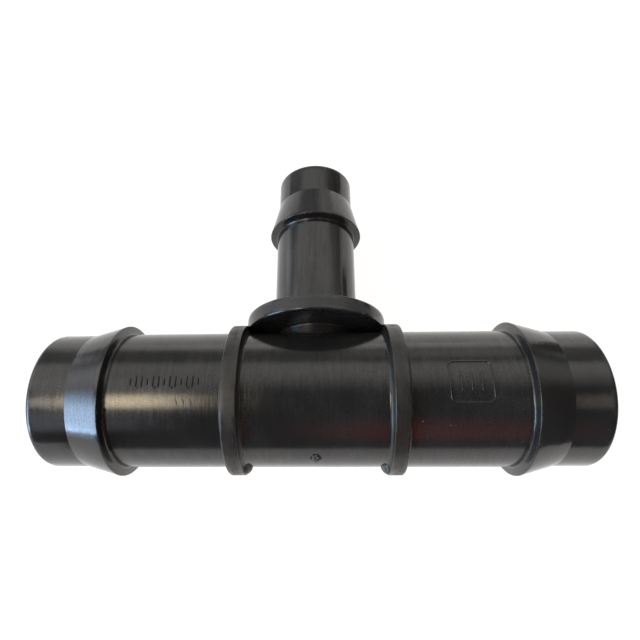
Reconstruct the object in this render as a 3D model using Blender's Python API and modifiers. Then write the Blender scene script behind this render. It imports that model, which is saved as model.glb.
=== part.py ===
"""A barbed reducing tee for low density poly pipe, as the named features of its one moulding.

The tee lies flat: the run is along X, the branch points to +Y, and the run's barbs rest on Z = 0.
Each arm is turned about its own axis. Heights along an arm are counted outwards from the point
where the two axes cross.
"""

import math
from collections import namedtuple

import bpy

# Driving dimensions, in metres
RUN_SHANK = 0.0190  # radius, for pipe of 38 mm inner diameter
RUN_WALL = 0.00325
RUN_BARB_RISE = 0.0025
RUN_NOSE_DROP = 0.00025
RUN_BARB_BACK = 0.0537  # foot of the ridge's back face
RUN_NOSE_FOOT = 0.0636
RUN_END = 0.0742
RUN_RIM = 0.0014  # rounding of the open end's outer edge

BRANCH_SHANK = 0.0125  # radius, for pipe of 25 mm inner diameter
BRANCH_WALL = 0.0030
BRANCH_BARB_RISE = 0.0024
BRANCH_NOSE_DROP = 0.00035
BRANCH_BARB_BACK = 0.0537
BRANCH_NOSE_FOOT = 0.0651
BRANCH_END = 0.0749
BRANCH_RIM = 0.0011

COLLAR_INNER_FACE = 0.0195
COLLAR_WIDTH = 0.0041
COLLAR_RISE = 0.00225
FLANGE_RADIUS = 0.02075
FLANGE_THICKNESS = 0.00425
NECK_RADIUS = 0.0113

EDGE = 0.0006  # rounding of collar and flange edges
LIP = 0.0002  # rounding of a barb's crest
BARB_LEAN = 0.0003  # how much further out the lip is than the back face's foot
ROOT = 0.0006  # fillet where a ring stands on its tube
BORE_EDGE = 0.0004
GAP = 0.0003  # clearance between neighbouring pieces

GATE_ANGLE = 157.2  # degrees round the run from the branch, over the upper side
GATE_RADIUS = 0.0011
GATE_DEPTH = 0.0006
GATE_RISE = 0.0009

STEPS = 40  # sides of every large round
SMALL_STEPS = 16
BLACK = (0.018, 0.018, 0.019, 1.0)

# Worked out from the dimensions above
RUN_BORE = RUN_SHANK - RUN_WALL
BRANCH_BORE = BRANCH_SHANK - BRANCH_WALL
RUN_BARB = RUN_SHANK + RUN_BARB_RISE
COLLAR_RADIUS = RUN_SHANK + COLLAR_RISE
COLLAR_OUTER_FACE = COLLAR_INNER_FACE + COLLAR_WIDTH
FLANGE_UNDERSIDE = RUN_SHANK + GAP
FLANGE_TOP = FLANGE_UNDERSIDE + FLANGE_THICKNESS
CROSSING = (0.0, (RUN_BARB - BRANCH_END) / 2, RUN_BARB)

Arm = namedtuple("Arm", "bore shank nose barb stop barb_back nose_foot end rim")
RUN_ARM = Arm(
    bore=RUN_BORE,
    shank=RUN_SHANK,
    nose=RUN_SHANK - RUN_NOSE_DROP,
    barb=RUN_BARB,
    stop=COLLAR_OUTER_FACE,
    barb_back=RUN_BARB_BACK,
    nose_foot=RUN_NOSE_FOOT,
    end=RUN_END,
    rim=RUN_RIM,
)
BRANCH_ARM = Arm(
    bore=BRANCH_BORE,
    shank=BRANCH_SHANK,
    nose=BRANCH_SHANK - BRANCH_NOSE_DROP,
    barb=BRANCH_SHANK + BRANCH_BARB_RISE,
    stop=FLANGE_TOP,
    barb_back=BRANCH_BARB_BACK,
    nose_foot=BRANCH_NOSE_FOOT,
    end=BRANCH_END,
    rim=BRANCH_RIM,
)


# Scene, collections and axes


def clear_scene():
    for obj in list(bpy.data.objects):
        bpy.data.objects.remove(obj)


def new_collection(name):
    collection = bpy.data.collections.new(name)
    bpy.context.scene.collection.children.link(collection)
    return collection


def new_axis(name, rotation_deg):
    """An empty at the crossing of the tee's axes, whose own +Z points out along an arm."""
    axis = bpy.data.objects.new(name, None)
    axis.location = CROSSING
    axis.rotation_euler = [math.radians(angle) for angle in rotation_deg]
    bpy.context.scene.collection.objects.link(axis)
    return axis


def plastic(name):
    """Glossy black moulded plastic."""
    material = bpy.data.materials.new(name)
    material.use_nodes = True
    shader = material.node_tree.nodes["Principled BSDF"]
    shader.inputs["Base Color"].default_value = BLACK
    shader.inputs["Roughness"].default_value = 0.3
    shader.inputs["Metallic"].default_value = 0.0
    return material


# Shapes


def arc(radius, height, bend, start_deg, end_deg, segments=2):
    """Profile points round a corner, from its centre at (radius, height)."""
    points = []
    for step in range(segments + 1):
        angle = math.radians(start_deg + (end_deg - start_deg) * step / segments)
        points.append((radius + bend * math.cos(angle), height + bend * math.sin(angle)))
    return points


def turned(name, profile, axis, station=0.0):
    """A ring or tube: a closed profile of (radius, height) points, turned about the arm's axis.

    The profile runs down the outer side and back up the bore.
    """
    mesh = bpy.data.meshes.new(name)
    corners = [(radius, 0.0, height) for radius, height in profile]
    edges = [(i, (i + 1) % len(corners)) for i in range(len(corners))]
    mesh.from_pydata(corners, edges, [])
    mesh.materials.append(plastic(name + "_plastic"))
    obj = bpy.data.objects.new(name, mesh)
    parts.objects.link(obj)
    obj.parent = axis
    obj.location = (0.0, 0.0, station)
    screw = obj.modifiers.new("turn", "SCREW")
    screw.axis = "Z"
    screw.steps = STEPS
    screw.render_steps = STEPS
    screw.use_merge_vertices = True
    screw.merge_threshold = 0.00001
    screw.use_smooth_shade = True
    return obj


def rod(name, collection, axis, radius, bottom, top, sides):
    """A plain round bar along the arm's axis, from one height to another."""
    bpy.ops.mesh.primitive_cylinder_add(vertices=sides, radius=radius, depth=top - bottom)
    obj = bpy.context.object
    obj.name = name
    for owner in list(obj.users_collection):
        owner.objects.unlink(obj)
    collection.objects.link(obj)
    obj.parent = axis
    obj.location = (0.0, 0.0, (bottom + top) / 2)
    return obj


def cut(target, name, axis, radius, bottom, top, sides=STEPS):
    """Drills a round bar out of a piece."""
    cutter = rod(name, cutters, axis, radius, bottom, top, sides)
    cutter.hide_render = True
    cutter.display_type = "WIRE"
    boolean = target.modifiers.new(name, "BOOLEAN")
    boolean.operation = "DIFFERENCE"
    boolean.solver = "EXACT"
    boolean.object = cutter


# Pieces of the centre


def collar_profile():
    """A ring with rounded edges and a root fillet on both sides, from its inner face outwards."""
    inner_rim = COLLAR_RADIUS - EDGE
    return [
        (RUN_SHANK, COLLAR_WIDTH + ROOT),
        (RUN_SHANK + ROOT, COLLAR_WIDTH),
        *arc(inner_rim, COLLAR_WIDTH - EDGE, EDGE, 90, 0),
        *arc(inner_rim, EDGE, EDGE, 0, -90),
        (RUN_SHANK + ROOT, 0.0),
        (RUN_SHANK, -ROOT),
        (RUN_BORE, -ROOT),
        (RUN_BORE, COLLAR_WIDTH + ROOT),
    ]


def flange_profile():
    """A disc with rounded edges, and a root fillet for the branch's shank on its upper side."""
    rim = FLANGE_RADIUS - EDGE
    return [
        (BRANCH_SHANK, FLANGE_THICKNESS + ROOT),
        (BRANCH_SHANK + ROOT, FLANGE_THICKNESS),
        *arc(rim, FLANGE_THICKNESS - EDGE, EDGE, 90, 0),
        *arc(rim, EDGE, EDGE, 0, -90),
        (BRANCH_BORE, 0.0),
        (BRANCH_BORE, FLANGE_THICKNESS + ROOT),
    ]


def tube_profile(outer, inner, length):
    return [(outer, length), (outer, 0.0), (inner, 0.0), (inner, length)]


def build_centre(right, branch, gate):
    """The barrel between the collars, and the neck that stands in its side opening."""
    half = COLLAR_INNER_FACE - ROOT - GAP
    barrel = turned("centre_barrel", tube_profile(RUN_SHANK, RUN_BORE, 2 * half), right, -half)
    cut(barrel, "branch_opening", branch, NECK_RADIUS + GAP, 0.0, 2 * RUN_SHANK)
    dimple_floor = RUN_SHANK - GATE_DEPTH
    cut(barrel, "gate_dimple", gate, GATE_RADIUS + GAP, dimple_floor, 2 * RUN_SHANK, SMALL_STEPS)

    neck_foot = RUN_BORE / 2
    neck_length = FLANGE_UNDERSIDE - GAP - neck_foot
    neck = turned(
        "branch_neck", tube_profile(NECK_RADIUS, BRANCH_BORE, neck_length), branch, neck_foot
    )
    cut(neck, "run_bore", right, RUN_BORE, -RUN_SHANK, RUN_SHANK)


def build_collar(name, axis, branch):
    """A collar, notched where the branch's flange crosses it."""
    collar = turned(name, collar_profile(), axis, COLLAR_INNER_FACE)
    cut(
        collar,
        name + "_notch",
        branch,
        FLANGE_RADIUS + GAP,
        FLANGE_UNDERSIDE - GAP,
        2 * FLANGE_TOP,
    )


def build_gate_stub(gate):
    bottom = RUN_SHANK - GATE_DEPTH + GAP
    stub = rod("gate_stub", parts, gate, GATE_RADIUS, bottom, RUN_SHANK + GATE_RISE, SMALL_STEPS)
    stub.data.materials.append(plastic("gate_stub_plastic"))
    stub.data.shade_smooth()
    stub.data.set_sharp_from_angle(angle=math.radians(40))


# Pieces of an arm


def barb_profile(arm):
    """A tapered ridge: root fillet, leaning back face, rounded lip and long cone to the nose."""
    length = arm.nose_foot - arm.barb_back
    lip = arm.barb - LIP
    return [
        (arm.nose, length),
        *arc(lip, BARB_LEAN + LIP, LIP, 0, -70),
        (arm.shank + ROOT, 0.0),
        (arm.shank, -ROOT),
        (arm.bore, -ROOT),
        (arm.bore, length),
    ]


def nose_profile(arm):
    """A lead-in tube whose open end has a round outer edge and a small chamfer in the bore."""
    length = arm.end - arm.nose_foot - GAP
    return [
        *arc(arm.nose - arm.rim, length - arm.rim, arm.rim, 90, 0, segments=3),
        (arm.nose, 0.0),
        (arm.bore, 0.0),
        (arm.bore, length - BORE_EDGE),
        (arm.bore + BORE_EDGE, length),
    ]


def build_arm(name, axis, arm):
    """Shank, barb and nose, outwards from the ring that the pipe stops against."""
    shank_foot = arm.stop + ROOT + GAP
    shank_length = arm.barb_back - ROOT - GAP - shank_foot
    turned(name + "_shank", tube_profile(arm.shank, arm.bore, shank_length), axis, shank_foot)
    turned(name + "_barb", barb_profile(arm), axis, arm.barb_back)
    turned(name + "_nose", nose_profile(arm), axis, arm.nose_foot + GAP)


clear_scene()
parts = new_collection("barbed_reducing_tee")
cutters = new_collection("cutters")

left_axis = new_axis("left_axis", (0, -90, 0))
right_axis = new_axis("right_axis", (0, 90, 0))
branch_axis = new_axis("branch_axis", (-90, 0, 0))
gate_axis = new_axis("gate_axis", (GATE_ANGLE - 90, 0, 0))

build_centre(right_axis, branch_axis, gate_axis)
build_gate_stub(gate_axis)
turned("branch_flange", flange_profile(), branch_axis, FLANGE_UNDERSIDE)
build_arm("branch", branch_axis, BRANCH_ARM)
for side, side_axis in (("left", left_axis), ("right", right_axis)):
    build_collar(side + "_collar", side_axis, branch_axis)
    build_arm(side, side_axis, RUN_ARM)
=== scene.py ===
"""The looks of a barbed reducing tee: one black injection moulding, lying on a pale floor.

Every sub-part of the frame gets a finely turned piece in its place. All of them share one texture
space and the same slight waviness, so they read as a single moulding.
"""

import math
from collections import namedtuple

import bmesh
import bpy
from mathutils import Matrix, Vector, noise


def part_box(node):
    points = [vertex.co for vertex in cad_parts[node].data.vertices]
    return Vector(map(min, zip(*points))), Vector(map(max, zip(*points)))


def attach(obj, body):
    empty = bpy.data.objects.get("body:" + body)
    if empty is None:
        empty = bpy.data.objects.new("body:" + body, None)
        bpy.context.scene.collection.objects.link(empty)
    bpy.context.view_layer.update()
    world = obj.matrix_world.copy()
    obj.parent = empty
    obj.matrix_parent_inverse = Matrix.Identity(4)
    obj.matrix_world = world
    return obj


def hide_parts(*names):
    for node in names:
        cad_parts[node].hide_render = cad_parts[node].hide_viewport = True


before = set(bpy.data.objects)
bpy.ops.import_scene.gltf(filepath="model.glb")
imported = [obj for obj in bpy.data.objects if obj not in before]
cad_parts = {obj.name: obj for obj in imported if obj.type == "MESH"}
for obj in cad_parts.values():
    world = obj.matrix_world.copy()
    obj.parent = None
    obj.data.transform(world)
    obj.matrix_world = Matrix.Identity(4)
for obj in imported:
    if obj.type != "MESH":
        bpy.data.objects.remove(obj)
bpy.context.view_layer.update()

BODY = "root"
NOISE_SEED = 1  # noise_vector takes its offsets from the clock if it has no seed
noise.seed_set(NOISE_SEED)

# Dimensions that the frame's boxes don't give, in metres
RUN_WALL = 0.00325
BRANCH_WALL = 0.0030
CAD_ROOT = 0.0006  # a CAD ring's box reaches this far past its faces, for its root fillets
CAD_GAP = 0.0003  # clearance between CAD pieces, which the one moulding doesn't have

COLLAR_EDGE = 0.00055
COLLAR_INNER_EDGE = 0.0003
COLLAR_FILLET = 0.00125  # where a collar stands on the barrel
FLANGE_EDGE = 0.0005
BARB_LIP = 0.0002
BARB_LEAN = 0.0003  # how much further out the lip is than the back face's foot
BARB_TRIM = 0.00001  # keeps the mould seam on the lip inside the frame's box
RUN_RIM = 0.0014
BRANCH_RIM = 0.0011
BORE_RIM = 0.0005
NECK_FOOT = 0.0009  # fillet where the neck stands on the barrel
NECK_HEAD = 0.0005  # fillet where it meets the flange
BORE_MOUTH = 0.0005  # rounding where the branch's bore opens into the run's

# Fineness of the meshes
RUN_SIDES = 192
BRANCH_SIDES = 144
FLAT_STEP = 0.0011
ARC_STEPS = 6
SHARP_ANGLE = math.radians(32)

# Traces of the mould
WAVE_HEIGHT = 0.000012
WAVE_LENGTH = 0.0075
SEAM_HEIGHT = 0.00005
SEAM_WIDTH = 0.00013
SEAM_OFFSETS = (0.4, 0.8, 1.3, 2.0, 3.2)  # extra columns beside the seam, in seam widths

Axis = namedtuple("Axis", "origin along across up sides")
Corner = namedtuple("Corner", "along radius bend", defaults=(0.0,))
Spot = namedtuple("Spot", "along radius edge root")
Arm = namedtuple("Arm", "axis shank nose barb bore rim ring_end barb_back nose_foot end")


# What the frame says


def size(node):
    low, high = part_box(node)
    return high - low


def centre(node):
    low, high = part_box(node)
    return (low + high) / 2


def reach(node, axis):
    """How far along an arm a node starts and ends."""
    low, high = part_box(node)
    ends = [(corner - axis.origin).dot(axis.along) for corner in (low, high)]
    return min(ends), max(ends)


CROSSING = Vector((0.0, centre("left_shank").y, centre("left_shank").z))
RIGHT = Axis(CROSSING, Vector((1, 0, 0)), Vector((0, 1, 0)), Vector((0, 0, 1)), RUN_SIDES)
LEFT = Axis(CROSSING, Vector((-1, 0, 0)), Vector((0, 1, 0)), Vector((0, 0, 1)), RUN_SIDES)
BRANCH = Axis(CROSSING, Vector((0, 1, 0)), Vector((1, 0, 0)), Vector((0, 0, 1)), BRANCH_SIDES)

RUN_SHANK = size("left_shank").z / 2
RUN_BORE = RUN_SHANK - RUN_WALL
BRANCH_SHANK = size("branch_shank").z / 2
BRANCH_BORE = BRANCH_SHANK - BRANCH_WALL
COLLAR_RADIUS = size("left_collar").z / 2
FLANGE_RADIUS = size("branch_flange").z / 2
NECK_RADIUS = size("branch_neck").z / 2
FLANGE_FOOT = reach("branch_flange", BRANCH)[0] - CAD_GAP


def arm_of(name, axis, wall, rim, ring):
    return Arm(
        axis=axis,
        shank=size(name + "_shank").z / 2,
        nose=size(name + "_nose").z / 2,
        barb=size(name + "_barb").z / 2,
        bore=size(name + "_shank").z / 2 - wall,
        rim=rim,
        ring_end=reach(ring, axis)[1],
        barb_back=reach(name + "_barb", axis)[0] + CAD_ROOT,
        nose_foot=reach(name + "_barb", axis)[1],
        end=reach(name + "_nose", axis)[1],
    )


# Mesh work


def rounded(corners):
    """A closed profile, clockwise, with its corners rounded and its flats split into short steps."""
    spots = []
    for before, corner, after in zip(corners[-1:] + corners[:-1], corners, corners[1:] + corners[:1]):
        middle = Vector((corner.along, corner.radius))
        back = (Vector((before.along, before.radius)) - middle).normalized()
        ahead = (Vector((after.along, after.radius)) - middle).normalized()
        if corner.bend == 0.0:
            spots.append(Spot(middle.x, middle.y, 0.0, 0.0))
            continue
        half = back.angle(ahead) / 2
        inward = (back + ahead).normalized()
        hub = middle + inward * (corner.bend / math.sin(half))
        convex = back.x * ahead.y - back.y * ahead.x > 0
        sweep = math.pi / 2 - half
        side = Vector((-inward.y, inward.x))
        if side.dot(ahead) < 0:
            side = -side
        for step in range(ARC_STEPS + 1):
            turn = sweep * (2 * step / ARC_STEPS - 1)
            spot = hub - inward * (corner.bend * math.cos(turn)) + side * (corner.bend * math.sin(turn))
            spots.append(Spot(spot.x, spot.y, float(convex), float(not convex)))
    return split_flats(spots)


def split_flats(spots):
    split = []
    for spot, after in zip(spots, spots[1:] + spots[:1]):
        split.append(spot)
        length = math.hypot(after.along - spot.along, after.radius - spot.radius)
        pieces = math.ceil(length / FLAT_STEP)
        for step in range(1, pieces):
            part = step / pieces
            split.append(
                Spot(
                    spot.along + (after.along - spot.along) * part,
                    spot.radius + (after.radius - spot.radius) * part,
                    0.0,
                    0.0,
                )
            )
    return split


def column_angles(sides, radius):
    """Evenly spaced angles, with extra ones beside the two mould seams."""
    angles = {2 * math.pi * i / sides for i in range(sides)}
    for seam in (0.0, math.pi):
        for offset in SEAM_OFFSETS:
            for sign in (-1, 1):
                angles.add((seam + sign * offset * SEAM_WIDTH / radius) % (2 * math.pi))
    return sorted(angles)


def waviness(place):
    """Moulded walls aren't quite true: a slight swell in the surface, in metres."""
    return WAVE_HEIGHT * noise.noise(place / WAVE_LENGTH)


def seam_rise(angle, radius):
    """Height of the mould seam's witness line at an angle round a tube."""
    off = min(abs(math.sin(angle)), 1.0) * radius / SEAM_WIDTH
    return SEAM_HEIGHT * math.exp(-off * off)


def new_piece(name, bm, edge=(), root=()):
    """A smooth mesh object from a bmesh, with how far each vertex is on an edge or in a corner."""
    bmesh.ops.recalc_face_normals(bm, faces=bm.faces)
    mesh = bpy.data.meshes.new(name)
    bm.to_mesh(mesh)
    bm.free()
    for label, values in (("edge", edge), ("root", root)):
        layer = mesh.attributes.new(label, "FLOAT", "POINT")
        if len(values) == len(mesh.vertices):
            layer.data.foreach_set("value", values)
    smooth(mesh)
    obj = bpy.data.objects.new(name, mesh)
    bpy.context.scene.collection.objects.link(obj)
    return obj


def smooth(mesh):
    mesh.shade_smooth()
    mesh.set_sharp_from_angle(angle=SHARP_ANGLE)


def loft(name, columns, edge=(), root=()):
    """A closed ring-shaped mesh through columns of points, each column a closed outline."""
    bm = bmesh.new()
    rows = [[bm.verts.new(place) for place in column] for column in columns]
    for here, there in zip(rows, rows[1:] + rows[:1]):
        for i in range(len(here)):
            j = (i + 1) % len(here)
            bm.faces.new((here[i], here[j], there[j], there[i]))
    return new_piece(name, bm, edge, root)


def turned(name, corners, axis, bore, seam=True):
    """A ring or tube turned about an arm's axis. The seam and the waviness stay off its bore."""
    spots = rounded(corners)
    angles = column_angles(axis.sides, max(spot.radius for spot in spots))
    columns = []
    for angle in angles:
        outward = axis.across * math.cos(angle) + axis.up * math.sin(angle)
        column = []
        for spot in spots:
            place = axis.origin + axis.along * spot.along + outward * spot.radius
            if spot.radius > bore + CAD_GAP:
                lift = waviness(place) + (seam_rise(angle, spot.radius) if seam else 0.0)
                place += outward * lift
            column.append(place)
        columns.append(column)
    edge = [spot.edge for spot in spots] * len(angles)
    root = [spot.root for spot in spots] * len(angles)
    return loft(name, columns, edge, root)


def place_piece(obj, material, slot, *nodes):
    """Finish and body of a piece, and the CAD nodes that it stands for. Its slot is not used."""
    obj.data.materials.clear()
    obj.data.materials.append(material)
    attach(obj, BODY)
    if nodes:
        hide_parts(*nodes)
    return obj


def drill(obj, cutter):
    """Takes one piece out of another for good."""
    boolean = obj.modifiers.new("drill", "BOOLEAN")
    boolean.operation = "DIFFERENCE"
    boolean.solver = "EXACT"
    boolean.object = cutter
    graph = bpy.context.evaluated_depsgraph_get()
    mesh = bpy.data.meshes.new_from_object(obj.evaluated_get(graph))
    obj.modifiers.clear()
    obj.data = mesh
    smooth(mesh)
    bpy.data.objects.remove(cutter)


# Materials


def new_tree(name):
    material = bpy.data.materials.new(name)
    material.use_nodes = True
    return material, material.node_tree


def add(tree, kind, **inputs):
    """A shader node with some of its inputs set or linked."""
    made = tree.nodes.new(kind)
    for label, value in inputs.items():
        socket = made.inputs[label.replace("_", " ")]
        if isinstance(value, bpy.types.NodeSocket):
            tree.links.new(value, socket)
        else:
            socket.default_value = value
    return made


def combine(tree, operation, first, second, clamp=False):
    made = tree.nodes.new("ShaderNodeMath")
    made.operation = operation
    made.use_clamp = clamp
    for socket, value in zip(made.inputs, (first, second)):
        if isinstance(value, bpy.types.NodeSocket):
            tree.links.new(value, socket)
        else:
            socket.default_value = value
    return made.outputs[0]


def remap(tree, value, low, high, to_low=0.0, to_high=1.0):
    """Smoothly maps a range of values onto another."""
    made = tree.nodes.new("ShaderNodeMapRange")
    made.interpolation_type = "SMOOTHSTEP"
    tree.links.new(value, made.inputs["Value"])
    bounds = {"From Min": low, "From Max": high, "To Min": to_low, "To Max": to_high}
    for label, bound in bounds.items():
        made.inputs[label].default_value = bound
    return made.outputs["Result"]


def blend(tree, factor, first, second):
    """Mixes two colours, each a socket or a colour value."""
    made = tree.nodes.new("ShaderNodeMix")
    made.data_type = "RGBA"
    tree.links.new(factor, made.inputs["Factor"])
    for socket, value in zip((made.inputs[6], made.inputs[7]), (first, second)):
        if isinstance(value, bpy.types.NodeSocket):
            tree.links.new(value, socket)
        else:
            socket.default_value = value
    return made.outputs[2]


def clouds(tree, place, scale, detail=3.0, stretch=(1.0, 1.0, 1.0), roughness=0.5):
    """Noise with the given number of cells in a metre, stretched along the object's axes."""
    mapping = tree.nodes.new("ShaderNodeMapping")
    mapping.inputs["Scale"].default_value = [scale * part for part in stretch]
    tree.links.new(place, mapping.inputs["Vector"])
    made = add(tree, "ShaderNodeTexNoise", Scale=1.0, Detail=detail, Roughness=roughness)
    tree.links.new(mapping.outputs["Vector"], made.inputs["Vector"])
    return made.outputs["Fac"]


def specks(tree, place, scale, radius):
    """Round specks, one or none to a cell."""
    cells = tree.nodes.new("ShaderNodeTexVoronoi")
    cells.inputs["Scale"].default_value = scale
    tree.links.new(place, cells.inputs["Vector"])
    near = remap(tree, cells.outputs["Distance"], radius * 0.5, radius, 1.0, 0.0)
    red = tree.nodes.new("ShaderNodeSeparateColor")
    tree.links.new(cells.outputs["Color"], red.inputs["Color"])
    chosen = remap(tree, red.outputs["Red"], 0.86, 0.88)
    return combine(tree, "MULTIPLY", near, chosen)


PLASTIC = (0.0095, 0.0092, 0.0090, 1.0)
PLASTIC_PALE = (0.0150, 0.0145, 0.0140, 1.0)
SCUFFED = (0.040, 0.039, 0.038, 1.0)
DUST = (0.20, 0.19, 0.175, 1.0)
# Tints of the highlights. The warm ones are painted light: the lamp light's warm colour, not the
# plastic's own
FAINT_WARM_LIGHT_TINT = (1.0, 0.975, 0.945, 1.0)
EVEN_SHEEN = (1.0, 1.0, 1.0, 1.0)
WARM_LIGHT_TINT = (1.0, 0.94, 0.85, 1.0)
CRUMB_PALE = (0.13, 0.128, 0.125, 1.0)
# Painted light: the seam webs are made pale so that they look lit
WEB_PAINTED_LIGHT = (0.12, 0.118, 0.116, 1.0)


PLASTIC_IOR = 1.5

# Cells in a metre of each texture
BROAD_CELLS = 70.0
PATCHY_CELLS = 420.0
FINE_CELLS = 3600.0
TURNING_CELLS = 340.0
HAIRLINE_CELLS = 900.0
HAIRLINE_STRETCH = (0.12, 1.6, 1.0)
DOT_CELLS = 300.0
DOT_RADIUS = 0.045


def moulded_plastic(name, gloss, lines, grain, relief_mix, shine_mix, highlight_lamp_tint, polish=0.0):
    """Black moulded plastic.

    gloss is its roughness, lines the stretch of the steel's turning marks along X, Y and Z, and
    grain the depth of its finest texture in metres. relief_mix is how deep the turning marks and
    the shrinkage ripples are beside that. shine_mix is how much the turning marks and the finest
    texture vary its shine. The tint after it is painted light: it gives the highlights the lamp
    light's warm colour, faint on most pieces, stronger on the collars, none on flange and neck.
    polish is how much smoother its edges are.
    """
    line_depth, ripple_depth = relief_mix
    streaks, speckle = shine_mix
    material, tree = new_tree(name)
    shader = tree.nodes["Principled BSDF"]
    place = tree.nodes.new("ShaderNodeTexCoord").outputs["Object"]
    edge = add(tree, "ShaderNodeAttribute")
    edge.attribute_name = "edge"
    root = add(tree, "ShaderNodeAttribute")
    root.attribute_name = "root"

    broad = clouds(tree, place, BROAD_CELLS, 4.0)
    patchy = clouds(tree, place, PATCHY_CELLS, 5.0, roughness=0.65)
    fine = clouds(tree, place, FINE_CELLS, 2.0)
    turning = clouds(tree, place, TURNING_CELLS, 5.0, lines, roughness=0.75)
    hairlines = clouds(tree, place, HAIRLINE_CELLS, 2.0, HAIRLINE_STRETCH)
    scratched = combine(
        tree,
        "MULTIPLY",
        remap(tree, hairlines, 0.71, 0.77),
        remap(tree, broad, 0.50, 0.62),
    )

    worn = combine(tree, "MULTIPLY", edge.outputs["Fac"], remap(tree, patchy, 0.42, 0.66))
    dusty_root = combine(tree, "MULTIPLY", root.outputs["Fac"], remap(tree, patchy, 0.50, 0.74))
    dots = specks(tree, place, DOT_CELLS, DOT_RADIUS)
    dust = combine(tree, "MAXIMUM", dots, combine(tree, "MULTIPLY", dusty_root, 0.2))
    scuffs = combine(tree, "MAXIMUM", combine(tree, "MULTIPLY", worn, 0.6), scratched)

    colour = blend(tree, remap(tree, broad, 0.35, 0.68), PLASTIC, PLASTIC_PALE)
    colour = blend(tree, combine(tree, "MULTIPLY", scuffs, 0.45), colour, SCUFFED)
    colour = blend(tree, combine(tree, "MULTIPLY", dust, 0.75), colour, DUST)
    tree.links.new(colour, shader.inputs["Base Color"])

    spread = remap(tree, patchy, 0.30, 0.70, gloss * 0.86, gloss * 1.16)
    spread = combine(tree, "MULTIPLY", spread, remap(tree, broad, 0.35, 0.65, 0.9, 1.12))
    spread = combine(tree, "MULTIPLY", spread, remap(tree, turning, 0.36, 0.64, 0.78, 1.22))
    kept = combine(tree, "SUBTRACT", 1.0, combine(tree, "MULTIPLY", edge.outputs["Fac"], polish))
    spread = combine(tree, "MULTIPLY", spread, kept)
    spread = combine(tree, "ADD", spread, combine(tree, "MULTIPLY", scuffs, 0.16))
    spread = combine(tree, "ADD", spread, combine(tree, "MULTIPLY", dust, 0.25), clamp=True)
    tree.links.new(spread, shader.inputs["Roughness"])

    relief = combine(tree, "ADD", fine, combine(tree, "MULTIPLY", turning, line_depth))
    relief = combine(tree, "ADD", relief, combine(tree, "MULTIPLY", patchy, ripple_depth))
    relief = combine(tree, "ADD", relief, combine(tree, "MULTIPLY", scratched, -0.3))
    relief = combine(tree, "ADD", relief, combine(tree, "MULTIPLY", dots, 1.5))
    bump = add(tree, "ShaderNodeBump", Height=relief, Distance=grain, Strength=1.0)
    tree.links.new(bump.outputs["Normal"], shader.inputs["Normal"])
    shader.inputs["IOR"].default_value = PLASTIC_IOR
    # Painted light: this tint gives the highlights the warm colour of the lamp light
    shader.inputs["Specular Tint"].default_value = highlight_lamp_tint
    shine = combine(
        tree,
        "MULTIPLY",
        remap(tree, turning, 0.34, 0.66, 1.0 - streaks, 1.0 + streaks),
        remap(tree, fine, 0.32, 0.68, 1.0 - speckle, 1.0 + speckle),
    )
    shine = combine(tree, "MULTIPLY", shine, 0.5)
    tree.links.new(shine, shader.inputs["Specular IOR Level"])
    return material


def rough_plastic(name, scale, stretch, depth, roughness, pale):
    """Matte, uneven plastic: torn, or not polished in the mould. Its pale colour is painted light on
    the webs.
    """
    material, tree = new_tree(name)
    shader = tree.nodes["Principled BSDF"]
    place = tree.nodes.new("ShaderNodeTexCoord").outputs["Object"]
    lumps = clouds(tree, place, scale, 5.0, stretch, roughness=0.75)
    colour = blend(tree, remap(tree, lumps, 0.47, 0.60), PLASTIC, pale)
    tree.links.new(colour, shader.inputs["Base Color"])
    tree.links.new(remap(tree, lumps, 0.3, 0.7, *roughness), shader.inputs["Roughness"])
    bump = add(tree, "ShaderNodeBump", Height=lumps, Distance=depth, Strength=1.0)
    tree.links.new(bump.outputs["Normal"], shader.inputs["Normal"])
    return material


ROUND_RUN = (5.0, 0.35, 0.35)
ROUND_BRANCH = (0.35, 5.0, 0.35)
ALONG_BRANCH = (3.5, 0.25, 3.5)
WEB_LINES = (4.0, 0.5, 0.5)
EVEN = (1.0, 1.0, 1.0)
# The warm highlight tints passed below are painted lamp light
GLOSS = moulded_plastic(
    "gloss_run_plastic", 0.13, ROUND_RUN, 2.2e-6, (0.6, 20.0), (0.10, 0.16), FAINT_WARM_LIGHT_TINT
)
SHANK_GLOSS = moulded_plastic(
    "shank_run_plastic", 0.18, ROUND_RUN, 6e-6, (1.6, 1.6), (0.18, 0.20), FAINT_WARM_LIGHT_TINT
)
SATIN = moulded_plastic(
    "satin_ring_plastic", 0.46, ROUND_RUN, 6e-6, (0.5, 0.5), (0.12, 0.16), WARM_LIGHT_TINT, 0.35
)
BRANCH_GLOSS = moulded_plastic(
    "gloss_branch_plastic", 0.14, ALONG_BRANCH, 1.8e-6, (0.5, 4.0), (0.20, 0.16), FAINT_WARM_LIGHT_TINT
)
BRANCH_SATIN = moulded_plastic(
    "satin_branch_plastic", 0.32, ROUND_BRANCH, 5e-6, (0.5, 0.5), (0.12, 0.14), EVEN_SHEEN, 0.75
)
# The webs' pale colour is painted light that makes them look lit
WEB = rough_plastic("matte_web_painted_light", 900.0, WEB_LINES, 0.00001, (0.30, 0.46), WEB_PAINTED_LIGHT)
TORN = rough_plastic("torn_gate_plastic", 2600.0, EVEN, 0.00022, (0.22, 0.55), CRUMB_PALE)
MOULDING = "black_moulding"


# Pieces of an arm


def shank_tube(arm):
    return [
        Corner(arm.ring_end, arm.shank),
        Corner(arm.barb_back - CAD_ROOT, arm.shank),
        Corner(arm.barb_back - CAD_ROOT, arm.bore),
        Corner(arm.ring_end, arm.bore),
    ]


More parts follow.
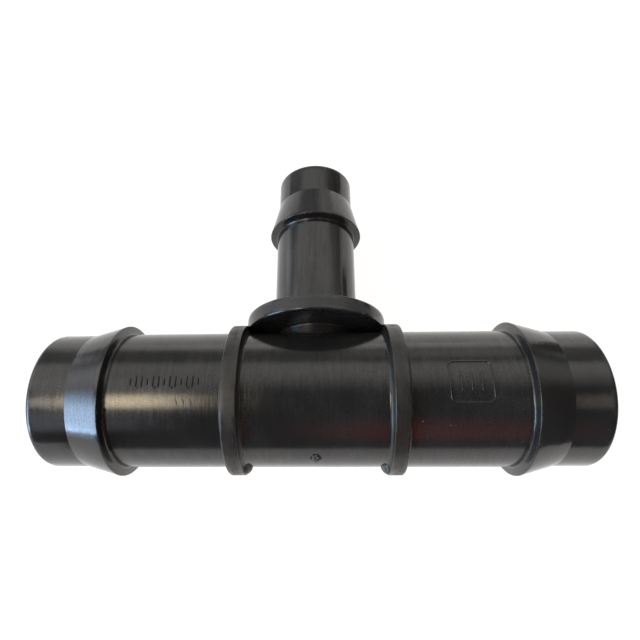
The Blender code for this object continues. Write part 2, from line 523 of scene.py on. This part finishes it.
def barb_ridge(arm):
    """Root fillet, leaning back face, rounded lip and a long cone."""
    return [
        Corner(arm.barb_back - CAD_ROOT, arm.shank),
        Corner(arm.barb_back, arm.shank, CAD_ROOT),
        Corner(arm.barb_back + BARB_LEAN, arm.barb - BARB_TRIM, BARB_LIP),
        Corner(arm.nose_foot, arm.nose),
        Corner(arm.nose_foot, arm.bore),
        Corner(arm.barb_back - CAD_ROOT, arm.bore),
    ]


def nose_tube(arm):
    """A lead-in tube whose open end is well rounded outside and slightly inside."""
    return [
        Corner(arm.nose_foot, arm.nose),
        Corner(arm.end, arm.nose, arm.rim),
        Corner(arm.end, arm.bore, BORE_RIM),
        Corner(arm.nose_foot, arm.bore),
    ]


def build_arm(name, arm, shank_finish, ridge_finish):
    pieces = (
        ("shank", "_shank_tube", shank_tube, shank_finish),
        ("barb", "_barb_ridge", barb_ridge, ridge_finish),
        ("nose", "_nose_tube", nose_tube, ridge_finish),
    )
    for node, ending, corners, finish in pieces:
        piece = turned(name + ending, corners(arm), arm.axis, arm.bore)
        place_piece(piece, finish, MOULDING, f"{name}_{node}")


# Pieces of the centre


def fillet(foot, start, end):
    """Points of the large fillet on the barrel side of a collar, whose inner face is at foot."""
    hub = foot - COLLAR_FILLET
    points = []
    for step in range(ARC_STEPS + 1):
        along = start + (end - start) * step / ARC_STEPS
        drop = math.sqrt(max(COLLAR_FILLET**2 - (along - hub) ** 2, 0.0))
        points.append(Corner(along, RUN_SHANK + COLLAR_FILLET - drop))
    return points


def build_collar(name, axis):
    """A ring with rounded edges. Its fillet on the barrel side runs on into the barrel's end."""
    start, end = reach(name, axis)
    foot = start + CAD_ROOT
    corners = [
        *fillet(foot, start, foot),
        Corner(foot, COLLAR_RADIUS, COLLAR_INNER_EDGE),
        Corner(end - CAD_ROOT, COLLAR_RADIUS, COLLAR_EDGE),
        Corner(end - CAD_ROOT, RUN_SHANK, CAD_ROOT),
        Corner(end, RUN_SHANK),
        Corner(end, RUN_BORE),
        Corner(start, RUN_BORE),
    ]
    place_piece(turned(name + "_ring", corners, axis, RUN_BORE), SATIN, MOULDING, name)


def build_flange():
    end = reach("branch_flange", BRANCH)[1]
    corners = [
        Corner(FLANGE_FOOT, FLANGE_RADIUS, FLANGE_EDGE),
        Corner(end - CAD_ROOT, FLANGE_RADIUS, FLANGE_EDGE),
        Corner(end - CAD_ROOT, BRANCH_SHANK, CAD_ROOT),
        Corner(end, BRANCH_SHANK),
        Corner(end, BRANCH_BORE),
        Corner(FLANGE_FOOT, BRANCH_BORE),
    ]
    flange = turned("branch_flange_disc", corners, BRANCH, BRANCH_BORE)
    place_piece(flange, BRANCH_SATIN, MOULDING, "branch_flange")


def build_barrel(gate):
    """The tube between the collars, open where the branch's neck stands in it."""
    half = reach("left_collar", LEFT)[0]
    foot = half + CAD_ROOT
    right_end = fillet(foot, foot - COLLAR_FILLET, half)
    left_end = [Corner(-point.along, point.radius) for point in reversed(right_end)]
    corners = [*left_end, *right_end, Corner(half, RUN_BORE), Corner(-half, RUN_BORE)]
    barrel = turned("centre_barrel_tube", corners, RIGHT, RUN_BORE)
    opening = [
        Corner(0.0, BRANCH_BORE + BORE_MOUTH),
        Corner(2 * RUN_SHANK, BRANCH_BORE + BORE_MOUTH),
    ]
    drill(barrel, bar("opening", opening, BRANCH))
    bowl = [Corner(RUN_SHANK + GATE_DEPTH * up, GATE_BOWL * wide) for up, wide in BOWL_OUTLINE]
    drill(barrel, bar("gate_bowl", bowl, gate))
    place_piece(barrel, SHANK_GLOSS, MOULDING, "centre_barrel")


def bar(name, corners, axis):
    """A solid turned bar, with flat ends, through open corner points."""
    bm = bmesh.new()
    rings = []
    for corner in corners:
        ring = []
        for i in range(axis.sides):
            angle = 2 * math.pi * i / axis.sides
            outward = axis.across * math.cos(angle) + axis.up * math.sin(angle)
            place = axis.origin + axis.along * corner.along + outward * corner.radius
            ring.append(bm.verts.new(place))
        rings.append(ring)
    for here, there in zip(rings, rings[1:]):
        for i in range(axis.sides):
            j = (i + 1) % axis.sides
            bm.faces.new((here[i], here[j], there[j], there[i]))
    bm.faces.new(rings[0])
    bm.faces.new(rings[-1])
    return new_piece(name, bm)


def saddle(tube_radius, off_axis):
    """Height of a run-wide tube's surface, over a point at some distance from its axis."""
    return math.sqrt(max(tube_radius**2 - off_axis**2, 0.0))


def curve(start, pull, end, steps=ARC_STEPS):
    """Points on a quadratic curve that leaves start towards pull and arrives at end from it."""
    points = []
    for step in range(steps + 1):
        t = step / steps
        points.append(start * (1 - t) ** 2 + pull * (2 * t * (1 - t)) + end * t**2)
    return points


def neck_outline(sine):
    """The neck's section in one half-plane through its axis, as (radius, height) points."""
    def on_barrel(radius, tube=RUN_SHANK):
        return Vector((radius, saddle(tube, radius * sine)))

    wall_foot = on_barrel(NECK_RADIUS)
    foot = curve(on_barrel(NECK_RADIUS + NECK_FOOT), wall_foot, wall_foot + Vector((0, NECK_FOOT)))
    head_corner = Vector((NECK_RADIUS, FLANGE_FOOT))
    head = curve(
        head_corner - Vector((0, NECK_HEAD)), head_corner, head_corner + Vector((NECK_HEAD, 0))
    )
    ceiling = FLANGE_FOOT + NECK_HEAD
    outside = [Vector((p.x, min(p.y, ceiling - CAD_GAP))) for p in foot + head]
    mouth_edge = on_barrel(BRANCH_BORE + BORE_MOUTH, RUN_BORE)
    mouth_corner = on_barrel(BRANCH_BORE, RUN_BORE)
    mouth = curve(mouth_corner + Vector((0, BORE_MOUTH)), mouth_corner, mouth_edge)
    inside_top = Vector((BRANCH_BORE, ceiling))
    buried = on_barrel(NECK_RADIUS + NECK_FOOT) - Vector((0, RUN_WALL / 2))
    return [*outside, Vector((NECK_RADIUS + NECK_HEAD, ceiling)), inside_top, *mouth, buried]


def build_neck():
    """The tube between barrel and flange. Its foot is a saddle, so it's lofted, not turned."""
    columns = []
    for angle in column_angles(BRANCH.sides, NECK_RADIUS):
        sine = math.sin(angle)
        outward = BRANCH.across * math.cos(angle) + BRANCH.up * sine
        outline = neck_outline(sine)
        columns.append([CROSSING + outward * p.x + BRANCH.along * p.y for p in outline])
    place_piece(loft("branch_neck_tube", columns), BRANCH_SATIN, MOULDING, "branch_neck")


# Small traces on the moulding

GATE_BOWL = 0.00150
GATE_DEPTH = 0.00045
# Height in bowl depths over the barrel's surface, with the width there in bowl radii
BOWL_OUTLINE = ((-1.0, 0.70), (-0.6, 0.92), (0.0, 1.0), (1.0, 1.15))
NUB_SUNK = 1.5  # how deep the nub starts, in bowl depths
NUB_TIP = 0.03  # its least width
NUB_SWELL = 0.45  # how bluntly it narrows
NUB_RISE = 0.8  # how steeply it rises
GATE_SIDES = 96
GATE_RINGS = 22
GATE_STRETCH = 0.35  # how much longer the nub is round the run than along it
GATE_TEAR = 0.00050
TEAR_LENGTH = 0.00070
CRUMB = 0.00024
CRUMB_LENGTH = 0.00032


def gate_axis():
    """Out of the run through the middle of the gate stub."""
    out = centre("gate_stub") - CROSSING
    out.x = 0.0
    out.normalize()
    return Axis(CROSSING, out, Vector((1, 0, 0)), out.cross(Vector((1, 0, 0))), GATE_SIDES)


def build_gate_scar(gate):
    """The nub that is left where the runner broke off: a rough crumbly lump in a shallow bowl."""
    low, high = reach("gate_stub", gate)
    radius = size("gate_stub").x / 2
    foot = RUN_SHANK - GATE_DEPTH * NUB_SUNK
    top = high - GATE_TEAR / 4
    rings = []
    for step in range(GATE_RINGS):
        turn = math.pi / 2 * step / (GATE_RINGS - 1)
        swell = max(math.cos(turn) ** NUB_SWELL, NUB_TIP)
        rings.append(Corner(foot + (top - foot) * math.sin(turn) ** NUB_RISE, radius * swell))
    scar = bar("gate_scar", rings, gate)
    for vertex in scar.data.vertices:
        above = min((vertex.co - CROSSING).dot(gate.along) - foot, top - foot) / (top - foot)
        torn = noise.noise_vector(vertex.co / TEAR_LENGTH) * GATE_TEAR
        crumbs = noise.noise_vector(vertex.co / CRUMB_LENGTH) * CRUMB
        round_by = (vertex.co - CROSSING).dot(gate.up)
        vertex.co += gate.up * (round_by * GATE_STRETCH) + (torn + crumbs) * max(above, 0.0)
    place_piece(scar, TORN, "gate_scar", "gate_stub")


def on_run(along, round_by, lift=0.0):
    """A point on the run's surface. round_by is the way from its top line, away from the branch."""
    angle = math.pi / 2 + round_by / RUN_SHANK
    outward = Vector((0, math.cos(angle), math.sin(angle)))
    return CROSSING + Vector((along, 0, 0)) + outward * (RUN_SHANK + lift)


LINE_STEP = 0.00014
LINE_SINK = 0.0002
LINE_SIDES = 8
LEAST_TAPER = 0.25
NEARLY_FULL = 0.98  # keeps roots and curves off their flat ends


def stroke(start, end):
    """Evenly spaced points from start to end, as (along, round_by) pairs."""
    start, end = Vector(start), Vector(end)
    steps = max(2, math.ceil((end - start).length / LINE_STEP))
    return [start.lerp(end, step / steps) for step in range(steps + 1)]


def ring_path(middle, radius, steps):
    path = []
    for step in range(steps):
        angle = 2 * math.pi * step / steps
        path.append(Vector(middle) + Vector((math.cos(angle), math.sin(angle))) * radius)
    return path


def rounded_square_path(middle, half, bend, steps=8):
    """A square with round corners."""
    path = []
    for quarter in range(4):
        start = math.pi / 2 * quarter
        corner = Vector((math.cos(start + math.pi / 4), math.sin(start + math.pi / 4)))
        hub = Vector(middle) + corner * ((half - bend) * math.sqrt(2))
        arc = []
        for step in range(steps + 1):
            angle = start + math.pi / 2 * step / steps
            arc.append(hub + Vector((math.cos(angle), math.sin(angle))) * bend)
        if path:
            path += stroke(path[-1], arc[0])[1:-1]
        path += arc
    return path + stroke(path[-1], path[0])[1:-1]


def add_line(bm, path, width, height, closed=False):
    """A low, round-topped ridge along a path on the run's surface."""
    rings = []
    count = len(path)
    for i, point in enumerate(path):
        before = path[i - 1] if closed or i > 0 else point
        after = path[(i + 1) % count] if closed or i < count - 1 else point
        direction = (after - before).normalized()
        side = Vector((-direction.y, direction.x))
        taper = 1.0
        if not closed:
            to_end = min((point - path[0]).length, (path[-1] - point).length)
            taper = math.sqrt(1 - (1 - min(to_end / (width / 2), NEARLY_FULL) * NEARLY_FULL) ** 2)
            taper = max(taper, LEAST_TAPER)
        outline = [(-1.0, -LINE_SINK / height)]
        for k in range(LINE_SIDES + 1):
            turn = math.pi * k / LINE_SIDES
            outline.append((-math.cos(turn), math.sin(turn)))
        outline += [(1.0, -LINE_SINK / height)]
        ring = []
        for across, up in outline:
            flat = point + side * (across * width / 2 * taper)
            lift = up * height * (taper if up > 0 else 1.0)
            ring.append(bm.verts.new(on_run(flat.x, flat.y, lift)))
        rings.append(ring)
    pairs = zip(rings, rings[1:] + rings[:1]) if closed else zip(rings, rings[1:])
    for here, there in pairs:
        for k in range(len(here)):
            after = (k + 1) % len(here)
            bm.faces.new((here[k], here[after], there[after], there[k]))
    if not closed:
        bm.faces.new(rings[0])
        bm.faces.new(rings[-1])


BARS = 13
BAR_WIDTH = 0.00060
BAR_HEIGHT = 0.00034
BAR_HALF = 0.0015
SHORT_BAR = 0.62  # length of every third bar beside the others
BAR_FOOT = 0.0009
FOOT_HEIGHT = 0.8  # height of a bar's foot beside the bar
LEFT_MARK = (-0.0470, -0.0297)

DASHES = 3
DASH_MARK = (-0.0352, -0.0316)
DASH_ROUND_BY = 0.0052
DASH_ABOVE = 0.0009
DASH_BELOW = 0.0006
DASH_SLANT = 0.0005
DASH_WIDTH = 0.00036
DASH_HEIGHT = 0.00008

TILE_MIDDLE = (0.0389, 0.0003)
TILE_HALF = 0.0053
TILE_BEND = 0.0015
TILE_WIDTH = 0.00052
TILE_HEIGHT = 0.00026
TILE_BAR_GAP = 0.0025
TILE_BAR = (-0.0022, 0.0028)

# Each from start to end on the run's surface, with its width and height
WITNESSES = (
    ((-0.0002, -0.0023), (-0.0002, 0.0008), 0.00030, 0.00012),
    ((-0.0003, 0.0017), (-0.0001, 0.0019), 0.00036, 0.00018),
    ((-0.0023, -0.0095), (-0.0021, -0.0094), 0.00036, 0.00016),
    ((-0.0129, 0.0075), (-0.0127, 0.0076), 0.00030, 0.00014),
)
PIN_MIDDLE = (0.0457, 0.0044)
PIN_RADIUS = 0.0010
PIN_STEPS = 40
PIN_WIDTH = 0.00020
PIN_HEIGHT = 0.00006


def build_left_marks():
    """A row of plain bars and a fainter row of short slants, as a mould insert carries."""
    bm = bmesh.new()
    start, end = LEFT_MARK
    for i in range(BARS):
        along = start + (end - start) * i / (BARS - 1)
        half = BAR_HALF * (1.0 if i % 3 else SHORT_BAR)
        add_line(bm, stroke((along, -half), (along, half)), BAR_WIDTH, BAR_HEIGHT)
        if i % 3 == 1:
            foot = stroke((along, half), (along + BAR_FOOT, half))
            add_line(bm, foot, BAR_WIDTH, BAR_HEIGHT * FOOT_HEIGHT)
    start, end = DASH_MARK
    for i in range(DASHES):
        along = start + (end - start) * i / (DASHES - 1)
        top = (along, DASH_ROUND_BY - DASH_ABOVE)
        foot = (along + DASH_SLANT, DASH_ROUND_BY + DASH_BELOW)
        add_line(bm, stroke(top, foot), DASH_WIDTH, DASH_HEIGHT)
    place_piece(new_piece("left_mould_bars", bm), SHANK_GLOSS, MOULDING)


def build_right_marks():
    """A plain square tile outline with three bars in it."""
    bm = bmesh.new()
    outline = rounded_square_path(TILE_MIDDLE, TILE_HALF, TILE_BEND)
    add_line(bm, outline, TILE_WIDTH, TILE_HEIGHT, True)
    for i in (-1, 0, 1):
        along = TILE_MIDDLE[0] + i * TILE_BAR_GAP
        low, high = TILE_BAR
        add_line(bm, stroke((along, low), (along, high)), TILE_WIDTH, TILE_HEIGHT)
    place_piece(new_piece("right_mould_tile", bm), SHANK_GLOSS, MOULDING)


def build_witness_marks():
    """A short weld tick and three specks on the barrel, and a pin mark beside the right barb."""
    bm = bmesh.new()
    for start, end, width, height in WITNESSES:
        add_line(bm, stroke(start, end), width, height)
    add_line(bm, ring_path(PIN_MIDDLE, PIN_RADIUS, PIN_STEPS), PIN_WIDTH, PIN_HEIGHT, True)
    place_piece(new_piece("witness_marks", bm), SHANK_GLOSS, MOULDING)


PIP_RADIUS = 0.00034
PIP_ANGLE = math.radians(112)
PIP_SIDES = 24
PIP_RINGS = 7
PIP_RISE = 0.8  # its height beside its radius
PIP_FLARE = 1.3  # width of its buried foot beside its radius
PIP_SUNK = 0.0001
PIP_FOOT = 0.0005


def build_flash_pip():
    """A tiny pip of flash on the left barb's lip."""
    out = Vector((0, math.cos(PIP_ANGLE), math.sin(PIP_ANGLE)))
    foot = reach("left_barb", LEFT)[0] + CAD_ROOT + BARB_LEAN
    across = Vector((1, 0, 0))
    axis = Axis(CROSSING + LEFT.along * foot, out, across, out.cross(across), PIP_SIDES)
    barb = size("left_barb").z / 2
    top = PIP_RADIUS * PIP_RISE
    corners = [Corner(barb - PIP_FOOT, PIP_RADIUS * PIP_FLARE)]
    for step in range(PIP_RINGS):
        turn = math.pi / 2 * step / PIP_RINGS
        along = barb - PIP_SUNK + top * math.sin(turn)
        corners.append(Corner(along, PIP_RADIUS * math.cos(turn)))
    place_piece(bar("left_barb_pip", corners, axis), GLOSS, MOULDING)


GUSSET_LENGTH = 0.0020
GUSSET_RISE = 0.0021
GUSSET_HALF = 0.0036
GUSSET_SUNK = 0.0003
GUSSET_BULGE = 1.1  # over 1 draws its face in
GUSSET_SLICES = 24
GUSSET_STEPS = 8


def build_gusset(name, axis):
    """A small web in the corner between collar and barrel, at the mould seam away from the branch."""
    face = reach(name + "_collar", axis)[0] + CAD_ROOT
    bm = bmesh.new()
    slices = []
    for step in range(GUSSET_SLICES + 1):
        part = 2 * step / GUSSET_SLICES - 1
        full = math.cos(part * math.pi / 2 * NEARLY_FULL)
        outline = [(face + GUSSET_SUNK, RUN_SHANK - GUSSET_SUNK)]
        for i in range(GUSSET_STEPS + 1):
            turn = math.pi / 2 * i / GUSSET_STEPS
            bulge_along = GUSSET_LENGTH * full * math.cos(turn) ** GUSSET_BULGE
            bulge_up = GUSSET_RISE * full * math.sin(turn) ** GUSSET_BULGE
            outline.append((face - bulge_along, RUN_SHANK - GUSSET_SUNK * (1 - full) + bulge_up))
        outline.append((face + GUSSET_SUNK, RUN_SHANK + GUSSET_RISE * full))
        shift = axis.up * (part * GUSSET_HALF)
        slices.append(
            [
                bm.verts.new(axis.origin + axis.along * along - axis.across * radius + shift)
                for along, radius in outline
            ]
        )
    for here, there in zip(slices, slices[1:]):
        for k in range(len(here)):
            after = (k + 1) % len(here)
            bm.faces.new((here[k], here[after], there[after], there[k]))
    bm.faces.new(slices[0])
    bm.faces.new(slices[-1])
    # Painted light: the web's pale colour makes it look lit
    place_piece(new_piece(name + "_seam_web", bm), WEB, MOULDING)


# The set


def set_piece(name, bm, material):
    mesh = bpy.data.meshes.new(name)
    bm.to_mesh(mesh)
    bm.free()
    mesh.materials.append(material)
    obj = bpy.data.objects.new(name, mesh)
    bpy.context.scene.collection.objects.link(obj)
    return obj


FLOOR_HALF = 4.0
FLOOR_GLOW = 0.95
FLOOR_COLOUR = (0.16, 0.158, 0.155, 1.0)
FLOOR_FLECK = (0.14, 0.138, 0.136, 1.0)


def floor_material():
    """Matte white board, lit a little from below like a product table."""
    material, tree = new_tree("floor_board")
    shader = tree.nodes["Principled BSDF"]
    place = tree.nodes.new("ShaderNodeTexCoord").outputs["Object"]
    fleck = clouds(tree, place, 40.0, 3.0)
    colour = blend(tree, fleck, FLOOR_COLOUR, FLOOR_FLECK)
    tree.links.new(colour, shader.inputs["Base Color"])
    shader.inputs["Roughness"].default_value = 0.9
    shader.inputs["Specular IOR Level"].default_value = 0.1
    shader.inputs["Emission Color"].default_value = (1.0, 0.985, 0.965, 1.0)
    shader.inputs["Emission Strength"].default_value = FLOOR_GLOW
    return material


def build_floor():
    bm = bmesh.new()
    bmesh.ops.create_grid(bm, x_segments=8, y_segments=8, size=FLOOR_HALF)
    set_piece("floor", bm, floor_material())


Feather = namedtuple("Feather", "sides front back")


def card_material(name, strength, colour, feather):
    """An even glow that fades towards the card's edges and adds to whatever is behind it."""
    material, tree = new_tree(name)
    tree.nodes.clear()
    place = tree.nodes.new("ShaderNodeTexCoord").outputs["Generated"]
    parts = tree.nodes.new("ShaderNodeSeparateXYZ")
    tree.links.new(place, parts.inputs[0])
    off = combine(tree, "ABSOLUTE", combine(tree, "SUBTRACT", parts.outputs["X"], 0.5), 0.0)
    sides = remap(tree, off, 0.5 - feather.sides, 0.5, 1.0, 0.0)
    front = remap(tree, parts.outputs["Y"], 0.0, feather.front)
    back = remap(tree, parts.outputs["Y"], 1.0 - feather.back, 1.0, 1.0, 0.0)
    fade = combine(tree, "MULTIPLY", sides, combine(tree, "MULTIPLY", front, back))
    fade = combine(tree, "MULTIPLY", fade, strength)
    glow = add(tree, "ShaderNodeEmission", Color=(*colour, 1.0), Strength=fade)
    clear = tree.nodes.new("ShaderNodeBsdfTransparent")
    both = tree.nodes.new("ShaderNodeAddShader")
    tree.links.new(clear.outputs[0], both.inputs[0])
    tree.links.new(glow.outputs[0], both.inputs[1])
    output = tree.nodes.new("ShaderNodeOutputMaterial")
    tree.links.new(both.outputs[0], output.inputs["Surface"])
    return material


def build_card(name, arc_deg, lean_deg, strength, colour, feather, distance=1.3):
    """A glowing card that faces the tee.

    arc_deg is where it starts and ends on a half circle from behind the tee, over its top, to in
    front of it. lean_deg is the same towards the tee's right end, so a left one is negative.
    """
    turn = math.radians(sum(arc_deg) / 2)
    lean = math.radians(sum(lean_deg) / 2)
    flat = Vector((0, math.cos(turn), math.sin(turn)))
    toward = flat * math.cos(lean) + Vector((math.sin(lean), 0, 0))
    back = Vector((0, math.sin(turn), -math.cos(turn)))
    half_arc = math.radians(arc_deg[1] - arc_deg[0]) / 2
    half_lean = math.radians(lean_deg[1] - lean_deg[0]) / 2
    half_high = distance * math.cos(lean) * math.tan(half_arc)
    half_wide = distance * math.tan(half_lean)
    bm = bmesh.new()
    bmesh.ops.create_grid(bm, x_segments=1, y_segments=1, size=1.0)
    bmesh.ops.scale(bm, vec=(half_wide, half_high, 1.0), verts=bm.verts)
    card = set_piece(name, bm, card_material(name, strength, colour, feather))
    turned_axes = Matrix((back.cross(toward), back, toward)).transposed()
    card.rotation_mode = "QUATERNION"
    card.rotation_quaternion = turned_axes.to_quaternion()
    card.location = CROSSING + toward * distance
    card.visible_camera = False
    card.visible_shadow = False


WHITE = (1.0, 1.0, 0.99)
SKY = (0.93, 1.0, 1.12)
WINDOW = (0.62, 0.88, 1.29)
LAMP = (1.0, 0.86, 0.60)
LAMP_GLOW = (1.0, 0.96, 0.90)
RED = (1.0, 0.10, 0.08)
TAN = (1.0, 0.92, 0.80)


def build_cards():
    """Soft light overhead and behind, a window and a warm lamp on the left, dim ones in front."""
    even = Feather(0.5, 0.5, 0.5)
    soft = Feather(0.4, 0.4, 0.4)
    build_card("overhead_card", (36, 96), (-68, 52), 1.05, WHITE, Feather(0.28, 0.68, 0.22), 1.6)
    build_card("overhead_left_card", (60, 104), (-56, -8), 0.85, WHITE, soft, 1.5)
    build_card("horizon_card", (-12, 18), (-44, 48), 1.3, WHITE, soft, 1.5)
    build_card("left_card", (8, 98), (-84, -44), 1.0, SKY, Feather(0.2, 0.1, 0.75))
    build_card("right_low_card", (-16, 30), (46, 82), 1.2, WHITE, soft)
    build_card("right_high_card", (22, 82), (34, 70), 0.6, WHITE, soft)
    build_card("left_low_card", (-24, 32), (-68, -49), 1.4, SKY, soft)
    build_card("back_patch_card", (12, 38), (0, 34), 0.6, WHITE, soft)
    build_card("lamp_card", (91, 123), (-35, -16), 13.0, LAMP, soft, 1.0)
    build_card("lamp_left_card", (96, 120), (-46, -30), 3.5, LAMP_GLOW, soft)
    build_card("lamp_glow_card", (74, 136), (-46, -8), 1.5, LAMP_GLOW, even)
    build_card("window_card", (88, 171), (-74, -46), 10.2, WINDOW, Feather(0.15, 0.07, 0.5))
    build_card("window_glow_card", (116, 164), (-46, -20), 1.0, SKY, soft)
    build_card("red_card", (130, 192), (-8, 37), 0.55, RED, soft)
    build_card("tan_card", (94, 128), (26, 44), 1.0, TAN, soft)
    build_card("window_low_card", (158, 188), (-76, -44), 3.6, WINDOW, soft)


SHADE_COLOUR = (0.12, 0.118, 0.12)
SHADE_HEIGHT = 0.05
FRONT_SHADE = ((-0.14, -0.177), (1.2, -0.177))  # foot of the strip, from end to end
RIGHT_SHADE = ((0.165, -0.177), (0.165, 0.10))


def build_shade(name, foot):
    """A dark upright strip, so that the tee doesn't reflect the floor beyond it."""
    material, tree = new_tree(name)
    tree.nodes.clear()
    glow = add(tree, "ShaderNodeEmission", Color=(*SHADE_COLOUR, 1.0), Strength=1.0)
    output = tree.nodes.new("ShaderNodeOutputMaterial")
    tree.links.new(glow.outputs[0], output.inputs["Surface"])
    bm = bmesh.new()
    low = [bm.verts.new((*end, 0.0)) for end in foot]
    high = [bm.verts.new((*end, SHADE_HEIGHT)) for end in foot]
    bm.faces.new((low[0], low[1], high[1], high[0]))
    shade = set_piece(name, bm, material)
    shade.visible_camera = False
    shade.visible_shadow = False
    shade.visible_diffuse = False


BACKDROP_RADIUS = 3.9
BACKDROP_GLOW = 0.93


def build_backdrop():
    """A plain pale wall all round, seen by the camera only."""
    material, tree = new_tree("backdrop_wall")
    tree.nodes.clear()
    glow = add(tree, "ShaderNodeEmission", Color=(1.0, 0.995, 0.985, 1.0), Strength=BACKDROP_GLOW)
    output = tree.nodes.new("ShaderNodeOutputMaterial")
    tree.links.new(glow.outputs[0], output.inputs["Surface"])
    bm = bmesh.new()
    bmesh.ops.create_uvsphere(bm, u_segments=48, v_segments=24, radius=BACKDROP_RADIUS)
    below = [v for v in bm.verts if v.co.z < -0.001]
    bmesh.ops.delete(bm, geom=below, context="VERTS")
    wall = set_piece("backdrop", bm, material)
    for ray in ("diffuse", "glossy", "transmission", "volume_scatter", "shadow"):
        setattr(wall, "visible_" + ray, False)


WORLD_FRONT = (0.11, 0.108, 0.11, 1.0)
WORLD_BACK = (0.36, 0.36, 0.36, 1.0)


def build_world():
    """Dim room light: darker in front of the tee and to its right than behind it."""
    world = bpy.data.worlds.new("room")
    bpy.context.scene.world = world
    world.use_nodes = True
    tree = world.node_tree
    place = tree.nodes.new("ShaderNodeTexCoord").outputs["Generated"]
    parts = tree.nodes.new("ShaderNodeSeparateXYZ")
    tree.links.new(place, parts.inputs[0])
    behind = remap(tree, parts.outputs["Y"], -0.15, 0.35)
    behind = combine(tree, "MULTIPLY", behind, remap(tree, parts.outputs["X"], 0.45, 0.8, 1.0, 0.15))
    colour = blend(tree, behind, WORLD_FRONT, WORLD_BACK)
    tree.links.new(colour, tree.nodes["Background"].inputs["Color"])


# The camera stands almost over the run, a little in front of it, and looks down at the tee
CAMERA_FROM_CROSSING = (0.0022, -0.0307, 0.1282)
CAMERA_TURN_DEG = (21.89, 2.08, 0.17)
LENS_MM = 25.31
SENSOR_MM = 36.0
SHIFT = (0.01955, 0.01833)


def build_camera():
    data = bpy.data.cameras.new("camera")
    data.lens = LENS_MM
    data.sensor_width = SENSOR_MM
    data.shift_x, data.shift_y = SHIFT
    data.clip_start = 0.01
    camera = bpy.data.objects.new("camera", data)
    camera.location = CROSSING + Vector(CAMERA_FROM_CROSSING)
    camera.rotation_euler = [math.radians(angle) for angle in CAMERA_TURN_DEG]
    bpy.context.scene.collection.objects.link(camera)
    bpy.context.scene.camera = camera


def build_tee():
    gate = gate_axis()
    build_barrel(gate)
    build_gate_scar(gate)
    build_neck()
    build_flange()
    for name, axis in (("left", LEFT), ("right", RIGHT)):
        build_collar(name + "_collar", axis)
        arm = arm_of(name, axis, RUN_WALL, RUN_RIM, name + "_collar")
        build_arm(name, arm, SHANK_GLOSS, GLOSS)
        build_gusset(name, axis)
    branch = arm_of("branch", BRANCH, BRANCH_WALL, BRANCH_RIM, "branch_flange")
    build_arm("branch", branch, BRANCH_GLOSS, BRANCH_GLOSS)
    build_left_marks()
    build_right_marks()
    build_witness_marks()
    build_flash_pip()


build_tee()
build_floor()
build_cards()
build_shade("front_shade", FRONT_SHADE)
build_shade("right_shade", RIGHT_SHADE)
build_backdrop()
build_world()
build_camera()
bpy.context.scene.view_settings.view_transform = "Standard"
